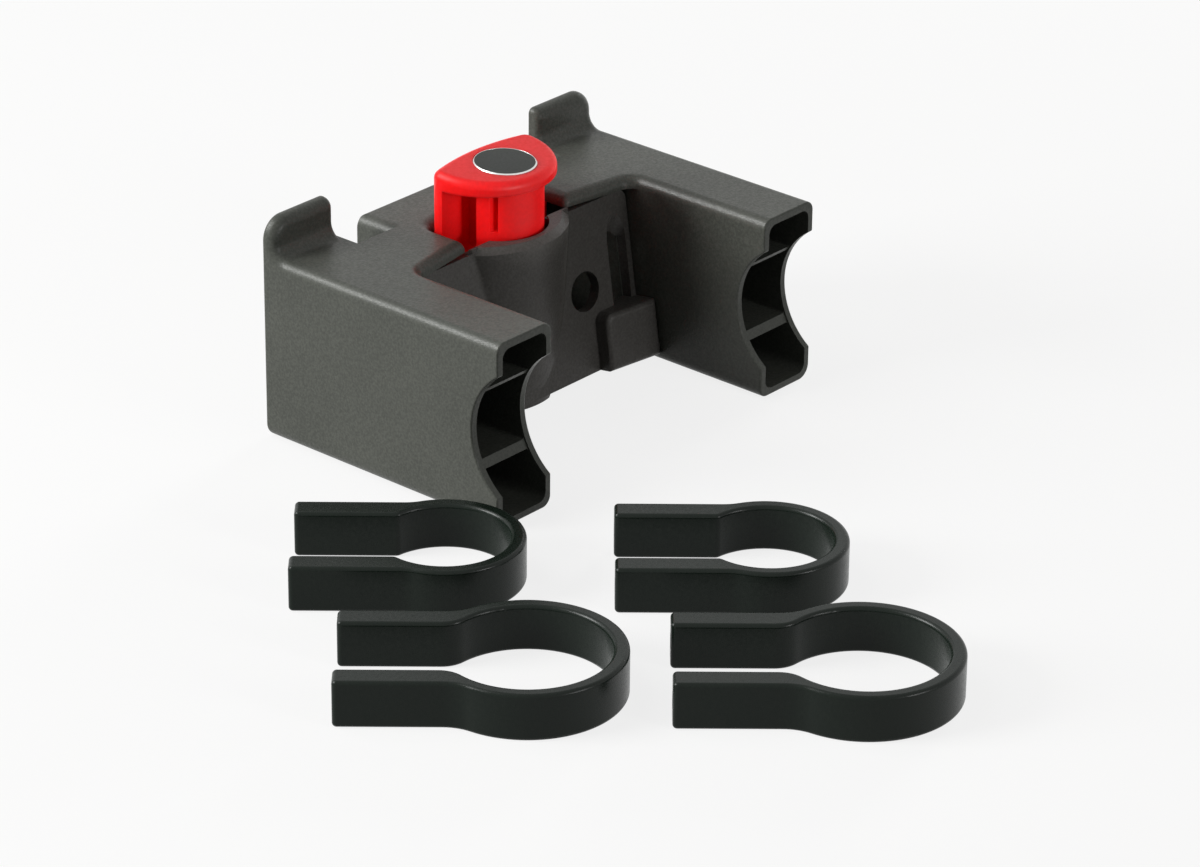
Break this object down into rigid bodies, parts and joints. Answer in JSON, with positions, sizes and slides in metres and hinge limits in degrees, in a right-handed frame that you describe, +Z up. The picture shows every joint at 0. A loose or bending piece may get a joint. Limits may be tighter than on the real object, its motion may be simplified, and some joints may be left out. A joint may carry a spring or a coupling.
{
  "type": "bicycle handlebar bag mount",
  "caption": "Moulded handlebar adapter for a bag, with half-round saddles, hook notches and a spring push button, and its loose U-shaped bar clamps.",
  "frame": {"origin": "on the handlebar axis, midway between the two arms", "axes": "+X along the handlebar, +Y towards the bag, +Z up"},
  "size_m": [0.1753, 0.1769, 0.0523],
  "materials": {
    "body": "fine matte grain",
    "cover": "matte",
    "button": "semi-gloss",
    "badge": "satin, bright rim",
    "spring": "drawn wire",
    "screw": "zinc plated",
    "clamp": "satin"
  },
  "bodies": {
    "frame": {"adapter_body": "body", "rear_cover": "cover", "return_spring": "spring", "clamp_screw_upper_left": "screw", "clamp_screw_upper_right": "screw", "clamp_screw_lower_left": "screw", "clamp_screw_lower_right": "screw", "small_clamp_left": "clamp", "small_clamp_right": "clamp", "large_clamp_left": "clamp", "large_clamp_right": "clamp"},
    "button": {"release_button": "button", "button_badge": "badge"}
  },
  "joints": [
    {"name": "button_press", "type": "slide", "parent": "frame", "child": "button", "axis": [0, 0, -1], "range_m": [0, 0.007], "stiffness_N_per_m": 700, "springref_m": -0.01, "deforming": ["return_spring"]}
  ]
}
